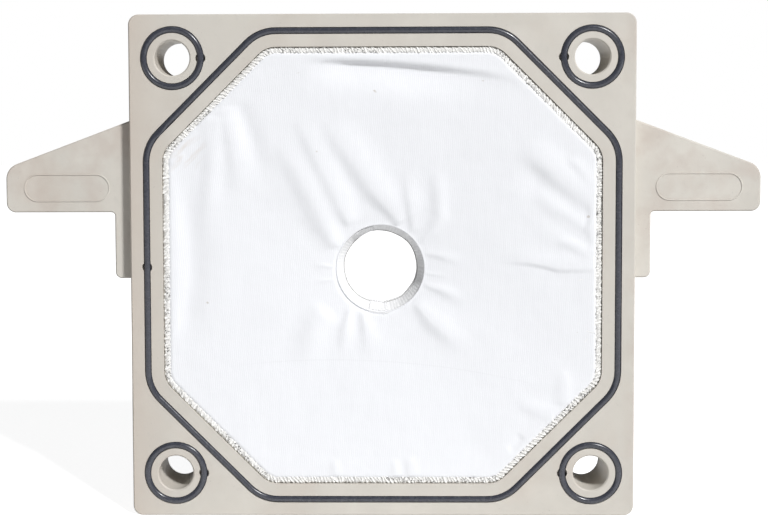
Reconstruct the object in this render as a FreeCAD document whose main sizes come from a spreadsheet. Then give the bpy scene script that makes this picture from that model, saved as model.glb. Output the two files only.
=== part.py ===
"""Recessed chamber plate of a small filter press, with its filter cloths and seals.

The plate stands upright. X runs across it, Y is the plate's normal and Z is up.
The front face looks along -Y. The origin is on the feed bore's axis, half way through the plate.
All sizes are in millimetres.
"""
import FreeCAD
import Part
import Sketcher
import math
import os

FRONT_TO_BACK = FreeCAD.Vector(0, 1, 0)
OCTAGON_SIDES = 8
CORNERS = {
    "top_left": (-1, 1),
    "top_right": (1, 1),
    "bottom_left": (-1, -1),
    "bottom_right": (1, -1),
}

# Driving sizes: name, value, what it is
SIZES = [
    ("plate_width", 470.0, "plate, edge to edge"),
    ("plate_height", 470.0, "plate, bottom edge to top edge"),
    ("plate_thickness", 56.0, "over the two sealing faces"),
    ("plate_corner", 9.5, "radius of the plate's four corners"),
    ("edge_break", 1.2, "chamfer round every outer edge"),
    ("handle_reach", 119.5, "from the plate's edge to the handle's end"),
    ("handle_thickness", 28.0, "handle, front to back"),
    ("handle_seat", 50.3, "underside of the handle above the plate's centre"),
    ("handle_root", 87.0, "height of the handle where it leaves the plate"),
    ("handle_tip", 42.0, "height of the handle's end"),
    ("handle_top_corner", 15.0, "radius at the end's upper corner"),
    ("handle_low_corner", 9.0, "radius at the end's lower corner"),
    ("shoe_width", 17.0, "guide shoe below the handle, out from the plate's edge"),
    ("shoe_drop", 62.5, "guide shoe, down from the handle's underside"),
    ("shoe_corner", 6.0, "radius at the shoe's lower corner"),
    ("shoe_fillet", 3.5, "radius between handle and shoe"),
    ("port_inset", 40.5, "port axis from the plate's edges"),
    ("port_bore", 32.5, "diameter of a corner port"),
    ("port_edge", 1.2, "chamfer at a port's mouths"),
    ("port_ring", 53.0, "diameter of a port seal, middle of its cord"),
    ("gasket_inset", 15.5, "middle of the chamber gasket from the plate's edges"),
    ("gasket_to_port", 39.4, "middle of the gasket from a port's axis, along the diagonal"),
    ("gasket_corner", 38.0, "radius of the gasket's corners"),
    ("seal_cord", 6.0, "diameter of the seals' cord"),
    ("seal_groove_depth", 4.8, "depth of the seals' grooves"),
    ("seal_clearance", 0.2, "between a seal and its groove"),
    ("pry_pocket", 9.5, "diameter of the pockets where a seal is lifted out"),
    ("pry_pocket_depth", 6.0, "depth of those pockets"),
    ("port_pry_reach", 26.5, "pocket beside a port, from the port's axis"),
    ("cloth_inset", 18.3, "middle of the cloth's edge cord inside the gasket"),
    ("edge_cord", 6.4, "diameter of the roped cloth edge"),
    ("cord_below_face", 0.7, "top of the roped edge below the sealing face"),
    ("cloth_clearance", 0.3, "between cloth and what is beside or under it"),
    ("lip_width", 3.5, "lip between the cloth groove and the chamber"),
    ("lip_below_face", 2.0, "top of the lip below the sealing face"),
    ("web_thickness", 24.0, "web between the two chambers, over its ribs"),
    ("chamber_slope", 45.0, "slope of the chamber's flank, degrees"),
    ("drain_depth", 2.5, "depth of the drainage channels"),
    ("drain_channel", 5.0, "width of a drainage channel"),
    ("drain_pitch", 14.0, "from one upright channel to the next"),
    ("drain_margin", 2.0, "drainage field inside the chamber floor's edge"),
    ("drain_bore", 8.0, "diameter of the bores from chamber to port"),
    ("drain_eye_inset", 14.0, "drain eye inside the floor's slanted side"),
    ("feed_bore", 91.0, "diameter of the feed bore"),
    ("feed_edge", 4.0, "radius round the feed bore's mouths"),
    ("cloth_thickness", 1.0, "filter cloth"),
    ("neck_outer", 83.0, "outer diameter of the cloth's neck at its mouths"),
    ("neck_waist", 69.5, "outer diameter of the neck at its seam, half way through the plate"),
    ("neck_bend", 3.0, "radius where the neck's mouths turn into the cloth"),
    ("neck_stand", 4.5, "how far the neck holds each cloth off the web"),
    ("neck_left", 1.5, "neck left of the bore's axis"),
    ("neck_low", 2.5, "neck below the bore's axis"),
]

PORT_X = "(Sizes.plate_width / 2 - Sizes.port_inset)"
PORT_Z = "(Sizes.plate_height / 2 - Sizes.port_inset)"
FACE = "(Sizes.plate_thickness / 2)"
WEB = "(Sizes.web_thickness / 2)"
SEAL_GROOVE = "(Sizes.seal_cord + 2 * Sizes.seal_clearance)"
SEAL_DEPTH = "(Sizes.seal_groove_depth - Sizes.seal_clearance - Sizes.seal_cord / 2)"
CLOTH_GROOVE = "(Sizes.edge_cord + 2 * Sizes.cloth_clearance)"
CLOTH_GROOVE_DEPTH = "(Sizes.cord_below_face + Sizes.edge_cord + Sizes.cloth_clearance)"
MOUTH = f"(Sizes.cloth_inset + {CLOTH_GROOVE} / 2 + Sizes.lip_width)"
FLANK_DEPTH = f"({FACE} - {WEB} - Sizes.lip_below_face)"
FLOOR = f"({MOUTH} + {FLANK_DEPTH} / tan(Sizes.chamber_slope * 1deg))"
DRAIN_EYE = (
    f"(({PORT_X} + {PORT_Z}) / sqrt(2) - Sizes.gasket_to_port - {FLOOR}"
    " - Sizes.drain_eye_inset)"
)
CLOTH_EDGE = "(Sizes.cloth_inset + Sizes.edge_cord / 2 + Sizes.cloth_clearance)"
NECK_X = "(-Sizes.neck_left)"
NECK_Z = "(-Sizes.neck_low)"
NECK_RIM = "(Sizes.neck_outer / 2 + Sizes.neck_bend)"
NECK_LEVEL = f"({WEB} + Sizes.cloth_clearance + Sizes.neck_stand)"

# Folds of the front cloth: start x, z, end x, z, sideways bow, half width, height.
# Their places are for a cloth of this half width, and follow it when the plate's size changes.
FOLDS_DRAWN_AT = 197.7
NECK_FOLDS = [
    (-40, 20, -91, 121, 6, 8, 2.2),
    (-31, 38, -70, 127, 4, 7, 2.2),
    (11, 40, -44, 131, -6, 8, 2.4),
    (28, 30, 21, 84, 0, 6, 1.6),
    (37, 24, 50, 74, -6, 6, 1.5),
    (39, 13, 79, 3, 0, 5, 1.2),
    (39, -16, 70, -28, 0, 5, 1.2),
    (31, -38, 70, -74, 4, 8, 2.0),
    (1, -45, 22, -98, 0, 10, 1.2),
    (-20, -44, -14, -82, 0, 6, 1.4),
    (-32, -41, -37, -86, 0, 6, 1.4),
    (-45, -40, -76, -88, -4, 9, 1.4),
    (-44, -14, -66, -15, 0, 5, 1.0),
    (-44, -4, -66, 2, 0, 5, 1.0),
]
RIM_FOLDS = [
    (-155, 140, -153, 42, -5, 8, 2.0),
    (-144, 148, -134, 65, 4, 7, 1.8),
    (-131, 140, -112, 96, 0, 7, 1.2),
    (192, 58, 143, 101, -3, 8, 2.4),
    (192, 27, 158, 47, 0, 7, 1.8),
    (192, -2, 124, 3, 0, 7, 1.8),
    (160, -142, 135, -136, 0, 7, 1.0),
]


def write_sizes(doc):
    """The sheet of driving sizes."""
    sheet = doc.addObject("Spreadsheet::Sheet", "Sizes")
    for row, (name, number, note) in enumerate(SIZES, 1):
        sheet.set(f"A{row}", name)
        sheet.set(f"B{row}", str(number))
        sheet.setAlias(f"B{row}", name)
        sheet.set(f"C{row}", note)
    doc.recompute()
    return sheet


def value(expression):
    """What an expression on the sheet comes to, as a number."""
    result = FreeCAD.ActiveDocument.getObject("Sizes").evalExpression(expression)
    return float(getattr(result, "Value", result))


def new_body(doc, name):
    """A body with a label of its own."""
    body = doc.addObject("PartDesign::Body", name + "_body")
    body.Label = name
    return body


def origin_item(body, role):
    """One of a body's own origin planes or axes."""
    return next(item for item in body.Origin.OriginFeatures if item.Role == role)


def new_sketch(body, name, plane="XZ_Plane", above="0"):
    """A sketch on one of the body's planes, moved along the plane's normal."""
    sketch = body.newObject("Sketcher::SketchObject", name)
    sketch.AttachmentSupport = [(origin_item(body, plane), "")]
    sketch.MapMode = "FlatFace"
    sketch.setExpression("AttachmentOffset.Base.z", above)
    return sketch


def dimension(sketch, name, expression, kind, *where):
    """A driving constraint whose size comes from the sheet."""
    number = sketch.addConstraint(Sketcher.Constraint(kind, *where, value(expression)))
    sketch.renameConstraint(number, name)
    sketch.setExpression("Constraints." + name, expression)


def place_point(sketch, name, geometry, point, across, up):
    """Hold a point at a place given by two expressions."""
    for axis, kind, expression in (("x", "DistanceX", across), ("y", "DistanceY", up)):
        ends = (-1, 1, geometry, point)
        if value(expression) < 0:
            ends = (geometry, point, -1, 1)
            expression = f"-({expression})"
        dimension(sketch, name + axis, expression, kind, *ends)


def add_polygon(sketch, corners, tag=""):
    """A closed run of straight lines through corners given by expressions."""
    points = [FreeCAD.Vector(value(a), value(b), 0) for a, b in corners]
    first = sketch.GeometryCount
    count = len(points)
    for i in range(count):
        sketch.addGeometry(Part.LineSegment(points[i], points[(i + 1) % count]), False)
    for i in range(count):
        after = first + (i + 1) % count
        sketch.addConstraint(Sketcher.Constraint("Coincident", first + i, 2, after, 1))
        place_point(sketch, f"corner{tag}{i}", first + i, 1, *corners[i])


def add_circle(sketch, name, across, up, diameter):
    """A circle with its centre and diameter from the sheet."""
    centre = FreeCAD.Vector(value(across), value(up), 0)
    circle = Part.Circle(centre, FreeCAD.Vector(0, 0, 1), value(diameter) / 2)
    number = sketch.addGeometry(circle, False)
    place_point(sketch, name, number, 3, across, up)
    dimension(sketch, name + "size", diameter, "Diameter", number)


def octagon_sizes(inside):
    """Expressions for the gasket line's octagon, moved inwards: half width, half height, slant, corner."""
    half_width = f"(Sizes.plate_width / 2 - Sizes.gasket_inset - ({inside}))"
    half_height = f"(Sizes.plate_height / 2 - Sizes.gasket_inset - ({inside}))"
    slant = f"(({PORT_X} + {PORT_Z}) / sqrt(2) - Sizes.gasket_to_port - ({inside}))"
    corner = f"max(Sizes.gasket_corner - ({inside}); 2)"
    return half_width, half_height, slant, corner


def octagon_points(inside):
    """For each side of the rounded octagon: its normal's angle and the centre of the arc after it."""
    half_width, half_height, slant, corner = (value(e) for e in octagon_sizes(inside))
    reach = [half_width, slant, half_height, slant] * 2
    result = []
    for i in range(OCTAGON_SIDES):
        a = i * math.pi / 4
        b = a + math.pi / 4
        p = reach[i] - corner
        q = reach[(i + 1) % OCTAGON_SIDES] - corner
        spread = math.sin(b - a)
        x = (p * math.sin(b) - q * math.sin(a)) / spread
        z = (q * math.cos(a) - p * math.cos(b)) / spread
        result.append((a, FreeCAD.Vector(x, z, 0)))
    return corner, result


def add_octagon(sketch, inside, tag=""):
    """The rounded octagon of the gasket line, moved inwards by an expression."""
    corner, turns = octagon_points(inside)
    half_width, half_height, slant, radius = octagon_sizes(inside)
    first = sketch.GeometryCount
    for i, (angle, centre) in enumerate(turns):
        before = turns[i - 1][1]
        out = FreeCAD.Vector(math.cos(angle), math.sin(angle), 0) * corner
        sketch.addGeometry(Part.LineSegment(before + out, centre + out), False)
        circle = Part.Circle(centre, FreeCAD.Vector(0, 0, 1), corner)
        sketch.addGeometry(Part.ArcOfCircle(circle, angle, angle + math.pi / 4), False)
    lines = [first + 2 * i for i in range(OCTAGON_SIDES)]
    for i, line in enumerate(lines):
        after = lines[(i + 1) % OCTAGON_SIDES]
        sketch.addConstraint(Sketcher.Constraint("Tangent", line, 2, line + 1, 1))
        sketch.addConstraint(Sketcher.Constraint("Tangent", line + 1, 2, after, 1))
    for line in lines[0::4]:
        sketch.addConstraint(Sketcher.Constraint("Vertical", line))
    for line in lines[2::4]:
        sketch.addConstraint(Sketcher.Constraint("Horizontal", line))
    sketch.addConstraint(Sketcher.Constraint("Angle", lines[1], math.radians(135)))
    sketch.addConstraint(Sketcher.Constraint("Perpendicular", lines[1], lines[3]))
    sketch.addConstraint(Sketcher.Constraint("Parallel", lines[1], lines[5]))
    sketch.addConstraint(Sketcher.Constraint("Parallel", lines[3], lines[7]))
    dimension(sketch, tag + "right", half_width, "DistanceX", -1, 1, lines[0], 1)
    dimension(sketch, tag + "left", half_width, "DistanceX", lines[4], 1, -1, 1)
    dimension(sketch, tag + "top", half_height, "DistanceY", -1, 1, lines[2], 1)
    dimension(sketch, tag + "bottom", half_height, "DistanceY", lines[6], 1, -1, 1)
    for i in range(1, OCTAGON_SIDES, 2):
        dimension(sketch, f"{tag}slant{i}", slant, "Distance", -1, 1, lines[i])
    dimension(sketch, tag + "corner", radius, "Radius", first + 1)
    for line in lines[1:]:
        sketch.addConstraint(Sketcher.Constraint("Equal", first + 1, line + 1))


def pad(body, name, sketch, length):
    """A pad to both sides of its sketch."""
    feature = body.newObject("PartDesign::Pad", name)
    feature.Profile = sketch
    feature.SideType = "Symmetric"
    feature.setExpression("Length", length)
    return feature


def pocket(body, name, sketch, depth):
    """A pocket from its sketch towards the back."""
    feature = body.newObject("PartDesign::Pocket", name)
    feature.Profile = sketch
    feature.setExpression("Length", depth)
    return feature


def through_pocket(body, name, sketch):
    """A pocket through the whole body."""
    feature = body.newObject("PartDesign::Pocket", name)
    feature.Profile = sketch
    feature.Type = "ThroughAll"
    feature.SideType = "Symmetric"
    return feature


def edges_where(shape, test, leave=None):
    """Names of the edges whose ends and middle pass a test, without those that all pass another."""
    names = []
    for i, edge in enumerate(shape.Edges, 1):
        middle = edge.valueAt((edge.FirstParameter + edge.LastParameter) / 2)
        points = [v.Point for v in edge.Vertexes] + [middle]
        left_out = leave is not None and all(leave(p) for p in points)
        if all(test(p) for p in points) and not left_out:
            names.append(f"Edge{i}")
    return names


def round_edges(body, name, kind, size, test, leave=None):
    """A fillet or chamfer on the edges that pass a test."""
    body.Document.recompute()
    base = body.Tip
    feature = body.newObject("PartDesign::" + kind, name)
    feature.Base = (base, edges_where(base.Shape, test, leave))
    feature.setExpression("Radius" if kind == "Fillet" else "Size", size)
    return feature


def close(a, b):
    """Whether two lengths agree to a thousandth of a millimetre."""
    return abs(a - b) < 0.001


def handle_outline(side):
    """Corners of one handle and its guide shoe, as expressions."""
    root = "(Sizes.plate_width / 2)"
    tip = f"({root} + Sizes.handle_reach)"
    shoe = f"({root} + Sizes.shoe_width)"
    seat = "Sizes.handle_seat"
    inner = f"({root} - Sizes.plate_corner)"
    corners = [
        (inner, f"({seat} - Sizes.shoe_drop)"),
        (shoe, f"({seat} - Sizes.shoe_drop)"),
        (shoe, seat),
        (tip, seat),
        (tip, f"({seat} + Sizes.handle_tip)"),
        (root, f"({seat} + Sizes.handle_root)"),
        (inner, f"({seat} + Sizes.handle_root)"),
    ]
    if side < 0:
        corners = [(f"-{across}", up) for across, up in reversed(corners)]
    return corners


def round_handle_corners(body):
    """The handle's own corners, each with its radius."""
    tip = value("Sizes.plate_width / 2 + Sizes.handle_reach")
    shoe = value("Sizes.plate_width / 2 + Sizes.shoe_width")
    seat = value("Sizes.handle_seat")
    toe = value("Sizes.handle_seat - Sizes.shoe_drop")
    top = value("Sizes.handle_seat + Sizes.handle_tip")
    for name, across, up, radius in (
        ("tip_top_corner", tip, top, "Sizes.handle_top_corner"),
        ("tip_low_corner", tip, seat, "Sizes.handle_low_corner"),
        ("shoe_toe", shoe, toe, "Sizes.shoe_corner"),
        ("shoe_root", shoe, seat, "Sizes.shoe_fillet"),
    ):
        round_edges(
            body, name, "Fillet", radius,
            lambda p, x=across, z=up: close(abs(p.x), x) and close(p.z, z),
        )


def add_plate_block(body):
    """The plain slab with rounded corners."""
    outline = new_sketch(body, "plate_outline")
    half = ("Sizes.plate_width / 2", "Sizes.plate_height / 2")
    corners = [(f"{a}({half[0]})", f"{b}({half[1]})") for a, b in ("--", "+-", "++", "-+")]
    add_polygon(outline, [(a.lstrip("+"), b.lstrip("+")) for a, b in corners])
    pad(body, "slab", outline, "Sizes.plate_thickness")
    half_width = value(half[0])
    half_height = value(half[1])
    round_edges(
        body, "slab_corners", "Fillet", "Sizes.plate_corner",
        lambda p: close(abs(p.x), half_width) and close(abs(p.z), half_height),
    )
    face = value(FACE)
    round_edges(
        body, "slab_edges", "Chamfer", "Sizes.edge_break", lambda p: close(abs(p.y), face)
    )


def add_handles(body):
    """The two side handles with their guide shoes, moulded on."""
    outline = new_sketch(body, "handle_outline")
    for tag, side in (("r", 1), ("l", -1)):
        add_polygon(outline, handle_outline(side), tag)
    pad(body, "handles", outline, "Sizes.handle_thickness")
    round_handle_corners(body)
    half_thickness = value("Sizes.handle_thickness / 2")
    root = value("Sizes.plate_width / 2")
    round_edges(
        body, "handle_edges", "Chamfer", "Sizes.edge_break",
        lambda p: close(abs(p.y), half_thickness) and abs(p.x) > root - 0.001,
        lambda p: close(abs(p.x), root),
    )


def cut_chambers(body):
    """The chamber recess, its lip and the cloth groove, on both faces."""
    lip = new_sketch(body, "lip_outline", above=FACE)
    add_octagon(lip, f"Sizes.cloth_inset - {CLOTH_GROOVE} / 2")
    lip_cut = pocket(body, "lip", lip, "Sizes.lip_below_face")
    groove = new_sketch(body, "cloth_groove_outline", above=FACE)
    add_octagon(groove, f"Sizes.cloth_inset - {CLOTH_GROOVE} / 2", "outer")
    add_octagon(groove, f"Sizes.cloth_inset + {CLOTH_GROOVE} / 2", "inner")
    groove_cut = pocket(body, "cloth_groove", groove, CLOTH_GROOVE_DEPTH)
    mouth = new_sketch(body, "chamber_mouth", above=f"({FACE} - Sizes.lip_below_face)")
    add_octagon(mouth, MOUTH)
    floor = new_sketch(body, "chamber_floor", above=WEB)
    add_octagon(floor, FLOOR)
    chamber = body.newObject("PartDesign::SubtractiveLoft", "chamber")
    chamber.Profile = mouth
    chamber.Sections = [floor]
    chamber.Ruled = True
    mirror = body.newObject("PartDesign::Mirrored", "back_chamber")
    mirror.Originals = [lip_cut, groove_cut, chamber]
    mirror.MirrorPlane = (origin_item(body, "XZ_Plane"), [""])
    body.Tip = mirror


def cut_seal_grooves(body):
    """Grooves and lifting pockets for the chamber gasket and the port seals."""
    gasket = new_sketch(body, "gasket_groove_outline", above=FACE)
    add_octagon(gasket, f"-{SEAL_GROOVE} / 2", "outer")
    add_octagon(gasket, f"{SEAL_GROOVE} / 2", "inner")
    pocket(body, "gasket_groove", gasket, "Sizes.seal_groove_depth")
    rings = new_sketch(body, "port_groove_outline", above=FACE)
    pockets = new_sketch(body, "pry_pockets", above=FACE)
    for name, (side, up) in CORNERS.items():
        across = f"{side} * {PORT_X}"
        height = f"{up} * {PORT_Z}"
        add_circle(rings, name + "_out", across, height, f"Sizes.port_ring + {SEAL_GROOVE}")
        add_circle(rings, name + "_in", across, height, f"Sizes.port_ring - {SEAL_GROOVE}")
        beside = f"{side} * ({PORT_X} - Sizes.port_pry_reach)"
        add_circle(pockets, name, beside, height, "Sizes.pry_pocket")
    half_width = octagon_sizes("0")[0]
    add_circle(pockets, "gasket", f"-{half_width}", "0", "Sizes.pry_pocket")
    pocket(body, "port_grooves", rings, "Sizes.seal_groove_depth")
    pocket(body, "pockets", pockets, "Sizes.pry_pocket_depth")


def cut_bores(body):
    """The four corner ports and the feed bore, with their edges worked."""
    ports = new_sketch(body, "port_circles")
    for name, (side, up) in CORNERS.items():
        add_circle(ports, name, f"{side} * {PORT_X}", f"{up} * {PORT_Z}", "Sizes.port_bore")
    through_pocket(body, "ports", ports)
    feed = new_sketch(body, "feed_circle")
    add_circle(feed, "feed", "0", "0", "Sizes.feed_bore")
    through_pocket(body, "feed", feed)
    face = value(FACE)
    web = value(WEB)
    centre = (value(PORT_X), value(PORT_Z))
    port = value("Sizes.port_bore / 2")
    bore = value("Sizes.feed_bore / 2")
    round_edges(
        body, "port_mouths", "Chamfer", "Sizes.port_edge",
        lambda p: close(abs(p.y), face)
        and close(math.hypot(abs(p.x) - centre[0], abs(p.z) - centre[1]), port),
    )
    round_edges(
        body, "feed_mouths", "Fillet", "Sizes.feed_edge",
        lambda p: close(abs(p.y), web) and close(math.hypot(p.x, p.z), bore),
    )


def make_moulding(doc):
    """The plate as moulded and machined, before its drainage is cut."""
    body = new_body(doc, "plate_moulding")
    add_plate_block(body)
    add_handles(body)
    cut_chambers(body)
    cut_seal_grooves(body)
    cut_bores(body)
    return body


def make_channels(doc):
    """Upright drainage channels of the front chamber and the two that collect from them."""
    half_width, half_height = octagon_sizes(FLOOR)[:2]
    body = new_body(doc, "channels")
    upright = new_sketch(body, "upright_channel", above=WEB)
    count = f"(floor({half_width} / Sizes.drain_pitch) * 2 + 1)"
    start = f"(({count} - 1) / 2 * Sizes.drain_pitch)"
    rectangle = [(-1, -1), (1, -1), (1, 1), (-1, 1)]
    corners = [
        (f"(-{start} + {a} * Sizes.drain_channel / 2)", f"({b} * {half_height})")
        for a, b in rectangle
    ]
    add_polygon(upright, corners)
    first = channel_pad(body, "first_channel", upright)
    row = body.newObject("PartDesign::LinearPattern", "upright_channels")
    row.Originals = [first]
    row.Direction = (origin_item(body, "X_Axis"), [""])
    row.Mode = "Spacing"
    row.setExpression("Occurrences", count)
    row.setExpression("Offset", "Sizes.drain_pitch")
    body.Tip = row
    collecting = new_sketch(body, "collecting_channels_outline", above=WEB)
    for tag, side in (("low", -1), ("top", 1)):
        level = f"{side} * {DRAIN_EYE} / sqrt(2)"
        corners = [
            (f"({a} * {half_width})", f"({level} + {b} * Sizes.drain_channel / 2)")
            for a, b in rectangle
        ]
        add_polygon(collecting, corners, tag)
    channel_pad(body, "collecting_channels", collecting)
    return body


def channel_pad(body, name, sketch):
    """A pad from the web's surface down to the channels' floor."""
    feature = body.newObject("PartDesign::Pad", name)
    feature.Profile = sketch
    feature.Reversed = True
    feature.setExpression("Length", "Sizes.drain_depth")
    return feature


def make_field(doc):
    """A block with the outline of the drainage field."""
    body = new_body(doc, "drain_field")
    outline = new_sketch(body, "drain_field_outline")
    add_octagon(outline, f"({FLOOR} + Sizes.drain_margin)")
    pad(body, "drain_field_block", outline, "Sizes.web_thickness")
    return body


def make_drain_bores(doc):
    """A slanting bore from each port and the eye that joins it to both chambers."""
    bores = []
    for name, (side, up) in CORNERS.items():
        eye_x = f"{side} * {DRAIN_EYE} / sqrt(2)"
        eye_z = f"{up} * {DRAIN_EYE} / sqrt(2)"
        bore = doc.addObject("Part::Cylinder", "drain_bore_" + name)
        bore.setExpression("Radius", "Sizes.drain_bore / 2")
        bore.setExpression("Height", f"({PORT_X} + {PORT_Z}) / sqrt(2) - {DRAIN_EYE}")
        bore.Placement.Rotation = FreeCAD.Rotation(
            FreeCAD.Vector(0, 0, 1), FreeCAD.Vector(side, 0, up)
        )
        bore.setExpression(".Placement.Base.x", eye_x)
        bore.setExpression(".Placement.Base.z", eye_z)
        eye = doc.addObject("Part::Cylinder", "drain_eye_" + name)
        eye.setExpression("Radius", "Sizes.drain_bore / 2")
        eye.setExpression("Height", "Sizes.web_thickness")
        eye.Placement.Rotation = FreeCAD.Rotation(FreeCAD.Vector(0, 0, 1), FRONT_TO_BACK)
        eye.setExpression(".Placement.Base.x", eye_x)
        eye.setExpression(".Placement.Base.y", f"-{WEB}")
        eye.setExpression(".Placement.Base.z", eye_z)
        bores += [bore, eye]
    return bores


def combine(doc, kind, name, shapes):
    """A boolean of several objects."""
    result = doc.addObject("Part::" + kind, name)
    result.Shapes = shapes
    return result


def make_plate(doc):
    """The finished plate: moulding less its drainage channels and bores."""
    moulding = make_moulding(doc)
    front = combine(doc, "MultiCommon", "front_drainage", [make_channels(doc), make_field(doc)])
    back = doc.addObject("Part::Mirroring", "back_drainage")
    back.Source = front
    back.Normal = FRONT_TO_BACK
    tools = combine(doc, "MultiFuse", "drainage", [front, back] + make_drain_bores(doc))
    plate = doc.addObject("Part::Cut", "plate_finished")
    plate.Label = "plate"
    plate.Base = moulding
    plate.Tool = tools
    return plate


def make_octagon_cord(doc, name, inside, diameter, depth, face=1):
    """A closed cord that follows the rounded octagon, sunk below a face."""
    body = new_body(doc, name)
    level = f"{face} * ({FACE} - ({depth}))"
    path = new_sketch(body, name + "_path", above=level)
    add_octagon(path, inside)
    section = new_sketch(body, name + "_section", "XY_Plane")
    across = octagon_sizes(inside)[0]
    add_circle(section, "cord", across, f"-({level})", diameter)
    cord = body.newObject("PartDesign::AdditivePipe", name + "_cord")
    cord.Profile = section
    cord.Spine = (path, [])
    return body


def make_port_seals(doc):
    """One O-ring round each corner port."""
    rings = []
    for name, (side, up) in CORNERS.items():
        ring = doc.addObject("Part::Torus", "port_seal_" + name)
        ring.Label = "port_seal_" + name
        ring.setExpression("Radius1", "Sizes.port_ring / 2")
        ring.setExpression("Radius2", "Sizes.seal_cord / 2")
        ring.Placement.Rotation = FreeCAD.Rotation(FreeCAD.Vector(0, 0, 1), FRONT_TO_BACK)
        ring.setExpression(".Placement.Base.x", f"{side} * {PORT_X}")
        ring.setExpression(".Placement.Base.y", f"-({FACE} - {SEAL_DEPTH})")
        ring.setExpression(".Placement.Base.z", f"{up} * {PORT_Z}")
        rings.append(ring)
    return rings


def add_profile(sketch, points, bends):
    """A closed outline through points given by expressions.

    bends holds, for a side that is an arc, its centre and whether it runs clockwise.
    """
    spots = [FreeCAD.Vector(value(a), value(b), 0) for a, b in points]
    sides = []
    for i, start in enumerate(spots):
        end = spots[(i + 1) % len(spots)]
        if i not in bends:
            sides.append((sketch.addGeometry(Part.LineSegment(start, end), False), (1, 2)))
            continue
        centre, clockwise = bends[i]
        middle = FreeCAD.Vector(value(centre[0]), value(centre[1]), 0)
        ends = (end, start) if clockwise else (start, end)
        angles = [math.atan2(p.y - middle.y, p.x - middle.x) % (2 * math.pi) for p in ends]
        circle = Part.Circle(middle, FreeCAD.Vector(0, 0, 1), (start - middle).Length)
        number = sketch.addGeometry(Part.ArcOfCircle(circle, *angles), False)
        sides.append((number, (2, 1) if clockwise else (1, 2)))
    for i, (number, ends) in enumerate(sides):
        after, after_ends = sides[(i + 1) % len(sides)]
        sketch.addConstraint(
            Sketcher.Constraint("Coincident", number, ends[1], after, after_ends[0])
        )
        place_point(sketch, f"point{i}", number, ends[0], *points[i])
        if i in bends:
            dimension(sketch, f"bend{i}", bends[i][0][0], "DistanceX", -1, 1, number, 3)


def make_neck(doc):
    """The sewn tube that joins the two cloths through the feed bore: a waist between two mouths."""
    body = new_body(doc, "cloth_neck")
    wall = new_sketch(body, "neck_wall", "XY_Plane")
    mouth = "(Sizes.neck_outer / 2)"
    waist = "(Sizes.neck_waist / 2)"
    lay = f"({NECK_LEVEL} - Sizes.neck_bend)"
    top = f"({NECK_LEVEL} + Sizes.cloth_thickness)"
    points = [
        (NECK_RIM, NECK_LEVEL),
        (mouth, lay),
        (waist, "0"),
        (mouth, f"-{lay}"),
        (NECK_RIM, f"-{NECK_LEVEL}"),
        (NECK_RIM, f"-{top}"),
        (f"({mouth} - Sizes.cloth_thickness)", f"-{lay}"),
        (f"({waist} - Sizes.cloth_thickness)", "0"),
        (f"({mouth} - Sizes.cloth_thickness)", lay),
        (NECK_RIM, top),
    ]
    back_bend = (NECK_RIM, lay)
    front_bend = (NECK_RIM, f"-{lay}")
    bends = {
        0: (back_bend, False),
        3: (front_bend, False),
        5: (front_bend, True),
        8: (back_bend, True),
    }
    add_profile(wall, points, bends)
    turn = body.newObject("PartDesign::Revolution", "neck_tube")
    turn.Profile = wall
    turn.ReferenceAxis = (wall, ["V_Axis"])
    turn.Angle = 360.0
    body.setExpression(".Placement.Base.x", NECK_X)
    body.setExpression(".Placement.Base.z", NECK_Z)
    return body


def rim_distance(direction, middle, sides):
    """Distance from a point in the cloth's middle to its rim, with the octagon's corners softened."""
    sharpness = 24
    total = 0.0
    for i in range(OCTAGON_SIDES):
        angle = i * math.pi / 4
        across = math.cos(angle)
        up = math.sin(angle)
        facing = direction[0] * across + direction[1] * up
        room = sides[i % 4] - middle[0] * across - middle[1] * up
        if facing > 0:
            total += (facing / room) ** sharpness
    return total ** (-1 / sharpness)


def fold_height(x, z, fold, at_start):
    """How far one fold lifts the cloth at a point; it is highest near its start."""
    x0, z0, x1, z1, bow, half_width, height = fold
    run_x = x1 - x0
    run_z = z1 - z0
    length = math.hypot(run_x, run_z)
    along = ((x - x0) * run_x + (z - z0) * run_z) / length ** 2
    if along <= 0 or along >= 1:
        return 0.0
    sideways = ((x - x0) * run_z - (z - z0) * run_x) / length
    sideways -= bow * 4 * along * (1 - along)
    spread = half_width * (0.75 + 0.6 * along)
    rise = min(1.0, along / at_start)
    rise = rise * rise * (3 - 2 * rise)
    fade = (1 - along) ** 1.2
    return height * rise * fade * math.exp(-((sideways / spread) ** 2))


class ClothShape:
    """The hung cloth: it sags from its roped edge to the neck, with folds."""

    def __init__(self, folds):
        self.folds = folds
        self.half_width, self.half_height, slant = (value(e) for e in octagon_sizes(CLOTH_EDGE)[:3])
        self.sides = (self.half_width, slant, self.half_height, slant)
        self.middle = (value(NECK_X), value(NECK_Z))
        self.neck = value(NECK_RIM)
        self.shallow = value("Sizes.cord_below_face")
        self.deep = value(f"{FACE} - {NECK_LEVEL} - Sizes.cloth_thickness")
        self.scale_x = self.half_width / FOLDS_DRAWN_AT
        self.scale_z = self.half_height / FOLDS_DRAWN_AT

    def depth(self, x, z):
        """Depth below the sealing face at a place on the plate."""
        dx = x - self.middle[0]
        dz = z - self.middle[1]
        distance = max(math.hypot(dx, dz), 0.001)
        reach = max(distance, 0.6 * self.neck)
        rim = rim_distance((dx / distance, dz / distance), self.middle, self.sides)
        share = math.log(rim / reach) / math.log(rim / self.neck)
        depth = self.shallow + (self.deep - self.shallow) * share
        lift = 0.0
        for fold in self.folds:
            lift += fold_height(x / self.scale_x, z / self.scale_z, fold, 0.15)
        room = 0.8 * (depth - self.shallow)
        if room <= 0:
            return depth
        return depth - room * (1 - math.exp(-lift / room))


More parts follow.
